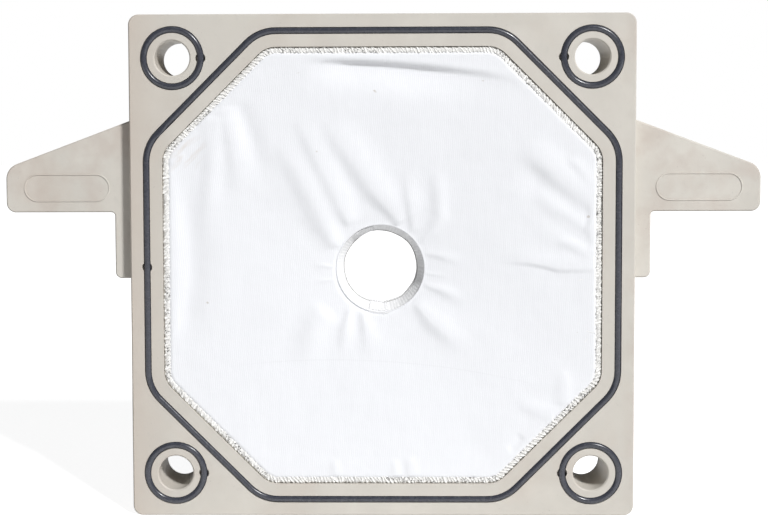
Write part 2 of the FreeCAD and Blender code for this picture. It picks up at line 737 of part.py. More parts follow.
def sheet_solid(shape, grid, direction):
    """A sheet with a smooth face through a grid of points, cut to the cloth's outline."""
    half_width = shape.half_width + 4
    half_height = shape.half_height + 4
    face_level = value(FACE)
    thickness = value("Sizes.cloth_thickness")
    rows = []
    for i in range(grid):
        x = half_width * (2 * i / (grid - 1) - 1)
        row = []
        for j in range(grid):
            z = half_height * (2 * j / (grid - 1) - 1)
            depth = face_level - shape.depth(x, z)
            row.append(FreeCAD.Vector(x, direction * depth, z))
        rows.append(row)
    surface = Part.BSplineSurface()
    surface.interpolate(rows)
    blanket = surface.toShape().extrude(FreeCAD.Vector(0, -direction * thickness, 0))
    outline = octagon_prism(CLOTH_EDGE)
    start = FreeCAD.Vector(shape.middle[0], -face_level, shape.middle[1])
    radius = shape.neck + value("Sizes.cloth_clearance")
    hole = Part.makeCylinder(radius, 2 * face_level, start, FRONT_TO_BACK)
    return blanket.common(outline.cut(hole))


def octagon_prism(inside):
    """A solid with the rounded octagon's outline, as thick as the plate."""
    corner, turns = octagon_points(inside)
    level = value(FACE)
    edges = []
    for i, (angle, centre) in enumerate(turns):
        before = turns[i - 1][1]

        def place(point, turn):
            x = point.x + corner * math.cos(turn)
            return FreeCAD.Vector(x, -level, point.y + corner * math.sin(turn))

        edges.append(Part.LineSegment(place(before, angle), place(centre, angle)).toShape())
        middle = place(centre, angle + math.pi / 8)
        end = place(centre, angle + math.pi / 4)
        edges.append(Part.Arc(place(centre, angle), middle, end).toShape())
    outline = Part.Face(Part.Wire(Part.__sortEdges__(edges)))
    return outline.extrude(FRONT_TO_BACK * (2 * level))


def make_cloth(doc, name, folds, grid, direction):
    """One filter cloth, its outline and sag taken from the sheet of sizes."""
    cloth = doc.addObject("Part::Feature", name)
    cloth.Label = name
    cloth.Shape = sheet_solid(ClothShape(folds), grid, direction)
    cloth.Placement = FreeCAD.Placement()
    return cloth


def check(doc, parts):
    """Stop if any object failed or any sub-part has no sound shape."""
    for item in doc.Objects:
        if "Invalid" in item.State or "Error" in item.State:
            raise RuntimeError(f"{item.Label} did not build: {item.State}")
    for item in parts:
        if item.Shape.isNull() or not item.Shape.isValid():
            raise RuntimeError(f"{item.Label} has no sound shape")
        volume = item.Shape.Volume
        print(f"{item.Label}: {len(item.Shape.Solids)} solid, {volume / 1000:.1f} cm3")


def main():
    """Build every sub-part and write one file for each."""
    doc = FreeCAD.newDocument("FilterPressPlate")
    write_sizes(doc)
    cord_depth = "(Sizes.cord_below_face + Sizes.edge_cord / 2)"
    parts = [make_plate(doc)]
    parts.append(make_octagon_cord(doc, "chamber_gasket", "0", "Sizes.seal_cord", SEAL_DEPTH))
    parts += make_port_seals(doc)
    for name, face in (("front_edge_cord", 1), ("back_edge_cord", -1)):
        parts.append(
            make_octagon_cord(doc, name, "Sizes.cloth_inset", "Sizes.edge_cord", cord_depth, face)
        )
    parts.append(make_neck(doc))
    parts.append(make_cloth(doc, "front_cloth", NECK_FOLDS + RIM_FOLDS, 48, -1))
    parts.append(make_cloth(doc, "back_cloth", NECK_FOLDS[::2], 32, 1))
    doc.recompute()
    check(doc, parts)
    os.makedirs("parts", exist_ok=True)
    for item in parts:
        item.Shape.exportStep(f"parts/{item.Label}.step")


main()
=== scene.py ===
"""Looks of a filter press plate: moulded plate, rubber seals and a pair of sewn filter cloths.

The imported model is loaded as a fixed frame. All lengths are metres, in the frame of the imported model:
X across the plate, Y from the sealing face to the back, Z up.
"""
import math
import random

import bmesh
import bpy
from mathutils import Matrix, Vector, noise


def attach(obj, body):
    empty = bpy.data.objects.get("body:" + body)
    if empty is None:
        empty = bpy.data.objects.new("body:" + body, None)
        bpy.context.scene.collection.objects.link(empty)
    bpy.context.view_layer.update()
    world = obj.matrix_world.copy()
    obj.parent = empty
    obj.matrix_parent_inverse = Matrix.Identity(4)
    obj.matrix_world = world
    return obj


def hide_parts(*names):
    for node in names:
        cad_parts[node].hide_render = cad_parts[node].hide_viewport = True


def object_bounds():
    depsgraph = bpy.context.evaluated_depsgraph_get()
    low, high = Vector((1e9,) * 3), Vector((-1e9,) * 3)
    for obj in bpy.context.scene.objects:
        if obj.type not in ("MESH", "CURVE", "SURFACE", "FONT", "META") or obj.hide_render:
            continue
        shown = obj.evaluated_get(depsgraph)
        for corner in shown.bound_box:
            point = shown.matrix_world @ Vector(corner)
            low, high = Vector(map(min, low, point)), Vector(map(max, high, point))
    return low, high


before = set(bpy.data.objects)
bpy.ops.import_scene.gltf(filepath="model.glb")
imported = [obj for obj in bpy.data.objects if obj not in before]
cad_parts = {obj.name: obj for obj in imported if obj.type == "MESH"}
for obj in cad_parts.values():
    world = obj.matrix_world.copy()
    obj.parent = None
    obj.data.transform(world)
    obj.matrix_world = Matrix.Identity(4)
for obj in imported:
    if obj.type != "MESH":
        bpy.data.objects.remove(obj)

CAD_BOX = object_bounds()

bl_info = {
    "name": "Filter Press Plate",
    "version": (1, 0, 0),
    "blender": (4, 5, 0),
    "location": "3D View > Sidebar > Press Plate",
    "description": "Finishes a filter press plate with its seals, cloths and stage",
    "category": "Object",
}

MM = 0.001

# The plate: levels along Y from its middle plane, distances from its middle
FACE = 0.028  # level of a sealing face
HANDLE_FACE = 0.014  # level of a handle's face
BORDER_PLACE = (0.297, 0.0735)  # middle of the right handle's border (x, z)
BORDER_SIZE = (0.0810, 0.0262)

# The chamber gasket
GASKET_LINE = 0.2195  # distance of its upright and level sides
GASKET_SLANT = 0.23566  # distance of its slanting sides
GASKET_CORNER = 0.038  # radius of its corners
GASKET_CORD = 0.0060  # its diameter
GASKET_DEPTH = 0.0018  # its middle below the face
GASKET_SEAT = -0.0233  # its deepest level, just above the bottom of the groove
GASKET_SWELLINGS = ((-0.2101, 0.1252), (0.1525, 0.1777))

# The roped edge of a cloth, in its groove
EDGE_CORD_INSET = 0.0183  # its middle inside the gasket's line
EDGE_CORD_DEPTH = 0.0039  # its middle below the face
EDGE_ROPE = 0.0067  # diameter of the rope in the stitches
THREAD = 0.00102  # radius of the stitches' thread
STITCH_RADIUS = 0.00266  # from the rope's middle to a stitch
STITCH_SLANT = 0.0021
GROOVE_ROOM = 0.0034  # from its middle to the groove's walls, less some air
LIP_RISE = 0.0021  # above its middle, from where stitches may lie over the inner lip

# The cloths and their neck
CLOTH_INSET = 0.0200  # the cloth's rim inside the gasket's line
RIM_DEPTH = 0.0007  # the cloth below the face at its rim
NECK_DEPTH = 0.0102  # the cloth below the face at its neck
NECK_CENTRE = (-0.0015, -0.0025)  # the neck's axis (x, z)
MOUTH = 0.0406  # radius of the neck's wall at its mouths
WAIST = 0.0340  # radius of the neck's wall at its seam
NECK_WALL = 0.0160  # level where the wall meets the lip
FRONT_SEED = 3.7  # place in the noise of the front cloth
LIGHT_ACROSS = (0.62, 0.78)  # direction (x, z) that a fold's lit side faces

# Folds of the cloth, in mm: points of the crest (x, z), width of the side turned to the light, width of the
# other side, height (below zero for a valley), length over which it grows and length over which it ends
NECK_FOLDS = [
    (((-98, 124), (-82, 95), (-67, 67), (-55, 41), (-43, 17)), 14, 10, 3.6, 60, 3),
    (((-82, 150), (-70, 125), (-58, 98), (-48, 78), (-39, 58), (-30, 38)), 14, 8, 3.5, 55, 3),
    (((-58, 150), (-42, 121), (-26, 97), (-12, 77), (0, 61), (10, 49), (17, 38)), 15, 9, 3.6, 50, 3),
    (((22, 94), (25.8, 63), (27.5, 46), (29, 31)), 9, 5, 1.7, 36, 3),
    (((50, 96), (53, 63), (54, 46), (46, 32), (35, 21)), 7, 6.5, 1.5, 32, 3),
    (((39, 12), (57, 8.5), (78, 2)), 6, 4, 1.3, 3, 28),
    (((39, -7), (64, -10)), 4, 3, 0.7, 3, 18),
    (((39, -18), (55, -22.5), (84, -35)), 6, 5, 1.6, 3, 34),
    (((31, -35), (38, -43), (46, -52), (56, -60), (84, -84)), 12, 8, 2.6, 3, 46),
    (((-19, -43), (-16, -57), (-10, -90)), 12, 6, 2.3, 3, 38),
    (((-30, -38), (-33.5, -55), (-40, -92)), 7, 5.5, 2.2, 3, 40),
    (((-50, -38), (-63, -55), (-79, -96)), 11, 10, 3.0, 12, 42),
    (((-43, -2), (-66, 2)), 4, 3.5, 0.9, 3, 16),
    (((-43, -13), (-68, -15)), 3.5, 3, 0.7, 3, 16),
]
RIM_FOLDS = [
    (((-158, 141), (-157.5, 120), (-158, 100), (-160, 80), (-166, 22)), 7, 6.5, 2.4, 5, 78),
    (((-145, 150), (-141, 128), (-139, 112), (-137, 92), (-133, 54)), 10, 6, 2.1, 6, 70),
    (((-137, 155), (-127, 133), (-120, 115), (-114, 95), (-106, 60)), 9, 9, -1.4, 12, 64),
    (((-197, 95), (-185, 107)), 3, 2.5, 0.9, 4, 5),
    (((-188, 104), (-181, 60), (-178, 20), (-178, -20), (-182, -50), (-188, -80)), 13, 10, -1.9, 60, 40),
    (((172, 101), (183, 91), (192, 80), (197, 72)), 5, 3, 1.6, 10, 3),
    (((128, 114), (150, 99), (163, 84), (176, 72), (188, 62), (197, 55)), 10, 10, 4.9, 34, 3),
    (((126, 99), (148, 82), (165, 67), (180, 56), (197, 46)), 7, 15, -1.6, 28, 3),
    (((138, 75), (155, 62), (170, 49), (182, 41), (197, 30)), 8, 8, 3.5, 38, 3),
    (((150, 56), (170, 41), (184, 32), (197, 22)), 5, 9, -1.0, 26, 3),
    (((158, 26), (180, 19), (197, 8)), 5, 4, 2.5, 26, 3),
    (((106, 5), (135, 3.5), (152, 1), (163, -2.5), (180, -2), (198, -1.5)), 10, 2.2, 2.6, 54, 2),
    (((-74, 193), (-45, 193), (-20, 192), (8, 190.5), (25, 189), (58, 185.5), (75, 183), (100, 180),
      (140, 171.5)), 4, 2.8, 1.0, 40, 120),
    (((-74, 189), (-45, 189), (-20, 187.5), (8, 185.5), (25, 184), (58, 180.5), (75, 178.5), (100, 175),
      (140, 167)), 3.6, 19, -4.6, 50, 110),
    (((170, -96), (170, -131)), 4.5, 5.5, 2.2, 16, 4),
    (((122, -126), (148, -137), (161, -141)), 7, 5, 1.6, 24, 3),
    (((119, -177), (134, -160)), 5, 6, -1.6, 7, 6),
    (((-46, -180), (-44, -198)), 4, 3, 1.6, 10, 2),
    (((25, -178), (27, -198)), 5, 3.2, 2.0, 10, 2),
    (((11, -181), (13, -198)), 3, 3, 1.4, 8, 2),
]


class PlateSettings(bpy.types.PropertyGroup):
    """Colours of the plate and its seals."""

    face: bpy.props.FloatVectorProperty(
        name="Face", description="Colour of the machined faces",
        subtype="COLOR", default=(0.635, 0.603, 0.548), min=0.0, max=1.0,
    )
    handle: bpy.props.FloatVectorProperty(
        name="Handles", description="Colour of the moulded handles",
        subtype="COLOR", default=(0.690, 0.658, 0.600), min=0.0, max=1.0,
    )
    rubber: bpy.props.FloatVectorProperty(
        name="Rubber", description="Colour of the seals",
        subtype="COLOR", default=(0.044, 0.047, 0.062), min=0.0, max=1.0,
    )
    border_width: bpy.props.FloatProperty(
        name="Border", description="Thickness of the raised line on each handle",
        subtype="DISTANCE", default=0.0011, min=0.0002, max=0.004,
    )


class ClothSettings(bpy.types.PropertyGroup):
    """Sizes and colours of the filter cloths."""

    weave: bpy.props.FloatVectorProperty(
        name="Weave", description="Colour of the filter cloth",
        subtype="COLOR", default=(0.905, 0.915, 0.945), min=0.0, max=1.0,
    )
    thread: bpy.props.FloatVectorProperty(
        name="Thread", description="Colour of the overlocking thread",
        subtype="COLOR", default=(0.96, 0.95, 0.925), min=0.0, max=1.0,
    )
    thickness: bpy.props.FloatProperty(
        name="Thickness", description="Thickness of the filter cloth",
        subtype="DISTANCE", default=0.0008, min=0.0003, max=0.002,
    )
    stitch_pitch: bpy.props.FloatProperty(
        name="Stitch pitch", description="From one overlock stitch to the next",
        subtype="DISTANCE", default=0.0032, min=0.001, max=0.006,
    )


class StageSettings(bpy.types.PropertyGroup):
    """Floor and light."""

    floor: bpy.props.FloatVectorProperty(
        name="Floor", description="Colour of the floor",
        subtype="COLOR", default=(0.82, 0.82, 0.82), min=0.0, max=1.0,
    )
    key: bpy.props.FloatProperty(
        name="Key light", description="Power of the lamp, in watts", default=2000.0, min=0.0,
    )
    fill: bpy.props.FloatProperty(
        name="Fill light", description="Strength of the light from all round", default=0.09, min=0.0,
    )


# Shapes


def octagon_arcs(inside):
    """Corner radius of the rounded octagon and, for each side, its normal's angle and next arc's centre."""
    radius = max(GASKET_CORNER - inside, 0.002)
    reach = [GASKET_LINE - inside - radius, GASKET_SLANT - inside - radius] * 4
    turns = []
    for i in range(8):
        a = i * math.pi / 4
        b = a + math.pi / 4
        p, q = reach[i], reach[(i + 1) % 8]
        x = (p * math.sin(b) - q * math.sin(a)) / math.sin(b - a)
        z = (q * math.cos(a) - p * math.cos(b)) / math.sin(b - a)
        turns.append((a, Vector((x, 0.0, z))))
    return radius, turns


def octagon_curve(name, inside, level, thickness, resolution):
    """A mesh of a closed cord that follows the rounded octagon at a level along Y."""
    radius, turns = octagon_arcs(inside)
    data = bpy.data.curves.new(name, "CURVE")
    data.dimensions = "3D"
    data.resolution_u = 10
    data.bevel_depth = thickness / 2
    data.bevel_resolution = resolution
    spline = data.splines.new("BEZIER")
    spline.bezier_points.add(len(turns) * 2 - 1)
    spline.use_cyclic_u = True
    grip = radius * 4 / 3 * math.tan(math.pi / 16)
    for i, (angle, centre) in enumerate(turns):
        before = turns[i - 1][1]
        out = Vector((math.cos(angle), 0.0, math.sin(angle)))
        along = Vector((-math.sin(angle), 0.0, math.cos(angle)))
        start = before + out * radius
        end = centre + out * radius
        third = (end - start) / 3
        for j, (spot, left, right) in enumerate((
            (start, start - along * grip, start + third),
            (end, end - third, end + along * grip),
        )):
            point = spline.bezier_points[2 * i + j]
            point.handle_left_type = point.handle_right_type = "FREE"
            lift = Vector((0.0, level, 0.0))
            point.co = spot + lift
            point.handle_left = left + lift
            point.handle_right = right + lift
    return mesh_of_curve(data, name)


def mesh_of_curve(data, name):
    """A smooth mesh made from a curve, which is removed."""
    holder = bpy.data.objects.new(name + "_line", data)
    add_to_scene(holder)
    bpy.context.view_layer.update()
    graph = bpy.context.evaluated_depsgraph_get()
    mesh = bpy.data.meshes.new_from_object(holder.evaluated_get(graph))
    bpy.data.objects.remove(holder)
    bpy.data.curves.remove(data)
    mesh.name = name
    mesh.polygons.foreach_set("use_smooth", [True] * len(mesh.polygons))
    return mesh


def octagon_walk(inside, pitch):
    """Places at an even pitch round the octagon: point, direction along it and direction outwards."""
    radius, turns = octagon_arcs(inside)
    runs = []
    for i, (angle, centre) in enumerate(turns):
        before = turns[i - 1][1]
        runs.append((angle, before, (centre - before).length, radius * math.pi / 4, centre))
    total = sum(straight + arc for _, _, straight, arc, _ in runs)
    count = round(total / pitch)
    places = []
    for k in range(count):
        rest = total * k / count
        for angle, before, straight, arc, centre in runs:
            if rest < straight:
                turn, middle, slide = angle, before, rest
                break
            rest -= straight
            if rest < arc:
                turn, middle, slide = angle + rest / radius, centre, 0.0
                break
            rest -= arc
        out = Vector((math.cos(turn), 0.0, math.sin(turn)))
        along = Vector((-math.sin(turn), 0.0, math.cos(turn)))
        places.append((middle + out * radius + along * slide, along, out))
    return places


def rim_reach(direction, inside):
    """Distance from the neck's centre to the rounded octagon, in one direction."""
    radius, turns = octagon_arcs(inside)
    corners = [centre for _, centre in turns]
    start = Vector((NECK_CENTRE[0], 0.0, NECK_CENTRE[1]))

    def outside(distance):
        point = start + direction * distance
        nearest = 1.0
        within = True
        for i, corner in enumerate(corners):
            before = corners[i - 1]
            edge = corner - before
            normal = Vector((edge.z, 0.0, -edge.x))
            if (point - before).dot(normal) > 0:
                within = False
            share = max(0.0, min(1.0, (point - before).dot(edge) / edge.length_squared))
            nearest = min(nearest, (point - before - edge * share).length)
        return not within and nearest > radius

    low, high = 0.1, 0.3
    for _ in range(24):
        middle = (low + high) / 2
        if outside(middle):
            high = middle
        else:
            low = middle
    return low


def smooth_step(value):
    """0 to 1 with a soft start and end."""
    value = max(0.0, min(1.0, value))
    return value * value * (3 - 2 * value)


class Fold:
    """A ridge or a valley of the cloth along a line."""

    def __init__(self, points, light_side, dark_side, height, grows, ends):
        self.widths = (light_side, dark_side)
        self.height = height
        self.grows = grows
        self.ends = ends
        self.runs = []
        self.total = 0.0
        for (x, z), (next_x, next_z) in zip(points, points[1:]):
            length = math.hypot(next_x - x, next_z - z)
            go_x = (next_x - x) / length
            go_z = (next_z - z) / length
            turned = math.copysign(1.0, go_z * LIGHT_ACROSS[0] - go_x * LIGHT_ACROSS[1])
            self.runs.append((x, z, go_x, go_z, length, self.total, turned))
            self.total += length
        margin = 2.8 * max(self.widths)
        self.low = (min(p[0] for p in points) - margin, min(p[1] for p in points) - margin)
        self.high = (max(p[0] for p in points) + margin, max(p[1] for p in points) + margin)

    def lift(self, x, z):
        """Its height at a place, in mm."""
        if not (self.low[0] < x < self.high[0] and self.low[1] < z < self.high[1]):
            return 0.0
        nearest = 1e9
        for start_x, start_z, go_x, go_z, length, done, turned in self.runs:
            along = min(max((x - start_x) * go_x + (z - start_z) * go_z, 0.0), length)
            off_x = x - start_x - go_x * along
            off_z = z - start_z - go_z * along
            apart = off_x * off_x + off_z * off_z
            if apart < nearest:
                nearest = apart
                at = done + along
                lit = (off_x * go_z - off_z * go_x) * turned > 0
        from_neck = math.hypot(x * MM - NECK_CENTRE[0], z * MM - NECK_CENTRE[1]) - MOUTH
        taper = 0.45 + 0.55 * smooth_step(from_neck / 0.034)
        width = (self.widths[0] if lit else self.widths[1]) * taper
        share = smooth_step(at / self.grows) * smooth_step((self.total - at) / self.ends)
        return self.height * share * taper * math.exp(-nearest / (width * width))


def fold_rise(point, depth, folds):
    """How far the folds raise the cloth, which lies at a depth below the face, and how far they lower it."""
    lifts = [fold.lift(point.x / MM, point.z / MM) for fold in folds]
    room = max(0.9 * (depth / MM - 0.2), 0.1)
    rise = sum(max(lift, 0.0) for lift in lifts)
    dip = -sum(min(lift, 0.0) for lift in lifts)
    return room * (1 - math.exp(-rise / room)) * MM, dip * MM


def cloth_depth(point, fall, from_rim, folds, seed):
    """Depth of the cloth below the sealing face; fall runs from 0 at its rim to 1 at its neck."""
    depth = RIM_DEPTH + (NECK_DEPTH - RIM_DEPTH) * fall
    rise, dip = fold_rise(point, depth, folds)
    depth += dip * smooth_step((from_rim / MM - 4.5) / 6.0) - rise
    calm = min(1.0, from_rim / 0.02) * min(1.0, (1 - fall) * 4)
    spot = Vector((point.x * 20, seed, point.z * 20))
    depth += 0.0004 * calm * noise.fractal(spot, 0.9, 2.0, 3, noise_basis="PERLIN_ORIGINAL")
    roll = max(0.0, 1 - from_rim / 0.003)
    return depth + 0.0015 * roll * roll


def add_to_scene(thing):
    """Link an object to the scene."""
    bpy.context.scene.collection.objects.link(thing)


def new_object(name, mesh, material):
    """An object in the scene, riding on the plate."""
    thing = bpy.data.objects.new(name, mesh)
    add_to_scene(thing)
    mesh.materials.clear()
    mesh.materials.append(material)
    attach(thing, "root")
    return thing


def mesh_from(form, name, smooth=True):
    """A mesh made from a bmesh, which is freed."""
    mesh = bpy.data.meshes.new(name)
    form.to_mesh(mesh)
    form.free()
    mesh.polygons.foreach_set("use_smooth", [smooth] * len(mesh.polygons))
    return mesh


# Materials


def add_node(tree, kind, inputs=(), **settings):
    """A new node; each input is (socket, number, colour or another node's output)."""
    made = tree.nodes.new("ShaderNode" + kind)
    for key, setting in settings.items():
        setattr(made, key, setting)
    for socket, given in inputs:
        if isinstance(given, bpy.types.NodeSocket):
            tree.links.new(given, made.inputs[socket])
        else:
            made.inputs[socket].default_value = given
    return made


class Look:
    """A material and its nodes."""

    def __init__(self, name):
        self.material = bpy.data.materials.new(name)
        self.material.use_nodes = True
        self.tree = self.material.node_tree
        self.surface = self.tree.nodes["Principled BSDF"]
        self.place = self.tree.nodes.new("ShaderNodeTexCoord").outputs["Object"]

    def node(self, kind, inputs=(), **settings):
        """A new node of the material."""
        return add_node(self.tree, kind, inputs, **settings)

    def noise(self, scale, detail=3.0, roughness=0.55, place=None):
        """A noise pattern, by its scale per metre."""
        return self.node("TexNoise", [
            ("Vector", place or self.place), ("Scale", scale), ("Detail", detail), ("Roughness", roughness),
        ]).outputs["Fac"]

    def wave(self, place, way, scale, distortion, detail=1.0, detail_scale=1.0):
        """Parallel lines along an axis, by their scale per metre."""
        return self.node("TexWave", [
            ("Vector", place), ("Scale", scale), ("Distortion", distortion), ("Detail", detail),
            ("Detail Scale", detail_scale),
        ], wave_type="BANDS", bands_direction=way, wave_profile="SIN").outputs["Fac"]

    def spread(self, value, low, high, to_low=0.0, to_high=1.0):
        """A value's range mapped to another."""
        return self.node("MapRange", [
            ("Value", value), ("From Min", low), ("From Max", high), ("To Min", to_low), ("To Max", to_high),
        ], clamp=True).outputs["Result"]

    def blend(self, share, first, second, mode="MIX"):
        """Two colours mixed by a share."""
        made = self.node("Mix", (), data_type="RGBA", blend_type=mode)
        for index, given in ((0, share), (6, first), (7, second)):
            if isinstance(given, bpy.types.NodeSocket):
                self.tree.links.new(given, made.inputs[index])
            elif index == 0:
                made.inputs[0].default_value = given
            else:
                made.inputs[index].default_value = (*given[:3], 1.0)
        return made.outputs[2]

    def tint(self, colour, pattern, amount, other):
        """A colour mixed with another where a pattern is, by an amount."""
        return self.blend(self.maths("MULTIPLY", pattern, amount), colour, other)

    def maths(self, operation, first, second=0.0):
        """A sum on two values."""
        return self.node("Math", [(0, first), (1, second)], operation=operation).outputs[0]

    def distance(self, middle):
        """Distance across the plate from a point (x, z)."""
        flat = self.node("VectorMath", [(0, self.place), (1, (1.0, 0.0, 1.0))], operation="MULTIPLY")
        inputs = [(0, flat.outputs[0]), (1, (middle[0], 0.0, middle[1]))]
        return self.node("VectorMath", inputs, operation="DISTANCE").outputs["Value"]

    def stretch(self, scale, turn=0.0):
        """Object coordinates stretched along the axes."""
        inputs = [("Vector", self.place), ("Scale", scale), ("Rotation", (0.0, turn, 0.0))]
        return self.node("Mapping", inputs).outputs["Vector"]

    def bump(self, height, distance, strength=1.0, under=None):
        """A bump on top of another."""
        inputs = [("Height", height), ("Distance", distance), ("Strength", strength)]
        if under is not None:
            inputs.append(("Normal", under))
        return self.node("Bump", inputs).outputs["Normal"]

    def set(self, **given):
        """The shader's own sockets, by name with underscores."""
        for key, value in given.items():
            socket = self.surface.inputs[key.replace("_", " ")]
            if isinstance(value, bpy.types.NodeSocket):
                self.tree.links.new(value, socket)
            else:
                socket.default_value = value
        return self.material


def scaled(colour, factor):
    """A colour made lighter or darker."""
    return tuple(min(1.0, channel * factor) for channel in colour)


def polypropylene(settings):
    """Moulded and machined polypropylene, off-white, faintly mottled and handled."""
    look = Look("polypropylene")
    face, handle = tuple(settings.face), tuple(settings.handle)
    across = look.node("SeparateXYZ", [("Vector", look.place)]).outputs["X"]
    on_handle = look.spread(look.maths("ABSOLUTE", across), 0.2352, 0.2375)
    base = look.blend(on_handle, face, handle)
    cloudy = look.spread(look.noise(9.0, 4.0, 0.6), 0.35, 0.68)
    base = look.tint(base, cloudy, 0.70, scaled(face, 0.91))
    warm = look.spread(look.noise(17.0, 3.0, 0.55), 0.52, 0.74)
    base = look.tint(base, warm, 0.45, (face[0] * 0.93, face[1] * 0.865, face[2] * 0.83))
    pale = look.spread(look.noise(26.0, 3.0, 0.5), 0.48, 0.72)
    base = look.tint(base, pale, 0.35, scaled(handle, 1.06))
    rim = look.spread(look.maths("ABSOLUTE", across), 0.222, 0.2346)
    worn = look.maths("MULTIPLY", rim, look.spread(look.noise(32.0, 4.0, 0.6), 0.46, 0.68))
    base = look.tint(base, worn, 0.40, (0.52, 0.44, 0.39))
    on_face = look.spread(on_handle, 0.0, 1.0, 1.0, 0.0)
    # Darker and browner towards the left edge of the face
    side = look.maths("MULTIPLY", look.spread(across, -0.2346, -0.195, 0.75, 0.0), on_face)
    base = look.blend(side, base, (face[0] * 0.92, face[1] * 0.86, face[2] * 0.83))
    grey = look.spread(look.noise(70.0, 5.0, 0.65), 0.60, 0.74)
    base = look.tint(base, grey, 0.16, (0.42, 0.40, 0.38))
    speck = look.spread(look.noise(620.0, 2.0, 0.5), 0.735, 0.76)
    base = look.tint(base, speck, 0.35, (0.30, 0.28, 0.26))
    milled = look.noise(1.0, 2.0, 0.5, look.stretch((1700.0, 900.0, 34.0)))
    rub = look.noise(1.0, 3.0, 0.6, look.stretch((60.0, 60.0, 900.0), 0.6))
    grain = look.noise(1500.0, 2.0, 0.6)
    normal = look.bump(grain, 0.00012, 0.35)
    normal = look.bump(milled, 0.00010, 0.30, normal)
    normal = look.bump(look.noise(42.0, 2.0), 0.0009, 0.25, normal)
    rough = look.spread(look.maths("ADD", rub, look.noise(30.0, 4.0)), 0.7, 1.3, 0.42, 0.58)
    return look.set(
        Base_Color=base, Roughness=rough, Normal=normal, IOR=1.49,
        Subsurface_Weight=0.0, Specular_IOR_Level=0.42,
    )


def rubber(settings):
    """Black nitrile cord with a soft shine and a little pale dust."""
    look = Look("seal_rubber")
    base = tuple(settings.rubber)
    dust = look.spread(look.noise(180.0, 4.0, 0.6), 0.45, 0.8)
    colour = look.tint(base, dust, 0.18, (0.15, 0.16, 0.19))
    fine = look.spread(look.noise(900.0, 2.0), 0.62, 0.78)
    colour = look.tint(colour, fine, 0.25, (0.22, 0.22, 0.22))
    rough = look.spread(look.noise(240.0, 3.0), 0.3, 0.7, 0.21, 0.31)
    normal = look.bump(look.noise(1300.0, 2.0), 0.00008, 0.2)
    normal = look.bump(look.noise(120.0, 2.0), 0.0006, 0.14, normal)
    return look.set(Base_Color=colour, Roughness=rough, Normal=normal, IOR=1.50, Specular_IOR_Level=0.5)


def filter_fabric(settings):
    """White twill of polypropylene yarn."""
    look = Look("filter_fabric")
    base = tuple(settings.weave)
    turned = look.stretch((1.0, 1.0, 1.0), math.radians(5.0))
    ribs = look.wave(turned, "X", 168.0, 2.2, 2.0, 0.5)
    warp = look.wave(turned, "X", 420.0, 1.2)
    weft = look.wave(look.place, "Z", 560.0, 0.8)
    threads = look.maths("ADD", look.maths("MULTIPLY", warp, 0.6), look.maths("MULTIPLY", weft, 0.4))
    slub = look.noise(1.0, 3.0, 0.6, look.stretch((700.0, 700.0, 26.0), math.radians(5.0)))
    soiled = look.spread(look.noise(14.0, 4.0, 0.6), 0.5, 0.75)
    colour = look.tint(base, soiled, 0.22, scaled(base, 0.955))
    colour = look.blend(look.spread(slub, 0.35, 0.65, 0.0, 0.30), colour, scaled(base, 0.94))
    colour = look.blend(look.spread(threads, 0.0, 0.45, 0.07, 0.0), colour, scaled(base, 0.80))
    speck = look.spread(look.noise(95.0, 1.0, 0.4), 0.802, 0.822)
    colour = look.tint(colour, speck, 0.45, (0.45, 0.38, 0.30))
    apart = look.node("SeparateXYZ", [("Vector", look.place)])
    # Painted shade: a thin darker line along an arched crease below the neck, fading out towards both sides
    shifted = look.maths("ADD", apart.outputs["X"], 0.05)
    arch = look.maths("MULTIPLY", look.maths("MULTIPLY", shifted, shifted), 0.6)
    level = look.maths("ADD", look.maths("ADD", apart.outputs["Z"], arch), 0.0885)
    painted_crease_shade = look.spread(look.maths("ABSOLUTE", level), 0.0002, 0.0009, 0.07, 0.0)
    ends = look.spread(look.maths("ABSOLUTE", apart.outputs["X"]), 0.10, 0.15, 1.0, 0.0)
    colour = look.tint(colour, painted_crease_shade, ends, scaled(base, 0.6))
    along = look.maths("MULTIPLY", look.maths("ADD", apart.outputs["X"], apart.outputs["Z"]), 30.0)
    over = look.maths("MULTIPLY", look.maths("SUBTRACT", apart.outputs["Z"], apart.outputs["X"]), 120.0)
    smear = look.noise(1.0, 3.0, 0.5, look.node("CombineXYZ", [("X", along), ("Z", over)]).outputs[0])
    stain = look.spread(look.distance((-0.1830, 0.1060)), 0.006, 0.024, 1.0, 0.0)
    stain = look.maths("MULTIPLY", stain, look.spread(smear, 0.50, 0.66))
    colour = look.tint(colour, stain, 0.26, (0.62, 0.50, 0.38))
    # Painted light: the neck's wall is made paler than the rest of the cloth, standing in for the light it
    # gets; the same mask keeps the radial lines to the neck
    neck_painted_light = look.spread(look.distance(NECK_CENTRE), 0.0405, 0.0412, 1.0, 0.0)
    colour = look.tint(colour, neck_painted_light, 0.85, (0.97, 0.97, 0.975))
    from_x = look.maths("SUBTRACT", apart.outputs["X"], NECK_CENTRE[0])
    from_z = look.maths("SUBTRACT", apart.outputs["Z"], NECK_CENTRE[1])
    turn = look.maths("MULTIPLY", look.maths("ARCTAN2", from_x, from_z), 84.0)
    lines = look.maths("MULTIPLY", look.maths("SINE", turn), neck_painted_light)
    colour = look.blend(look.spread(lines, -1.0, 0.0, 0.07, 0.0), colour, scaled(base, 0.7))
    normal = look.bump(threads, 0.00022, 0.36)
    normal = look.bump(lines, 0.00012, 0.6, normal)
    normal = look.bump(ribs, 0.00030, 0.15, normal)
    normal = look.bump(slub, 0.0002, 0.30, normal)
    normal = look.bump(look.noise(90.0, 4.0, 0.6), 0.0009, 0.16, normal)
    return look.set(
        Base_Color=colour, Roughness=0.86, Normal=normal,
        Sheen_Weight=0.12, Sheen_Roughness=0.5, Specular_IOR_Level=0.25,
    )


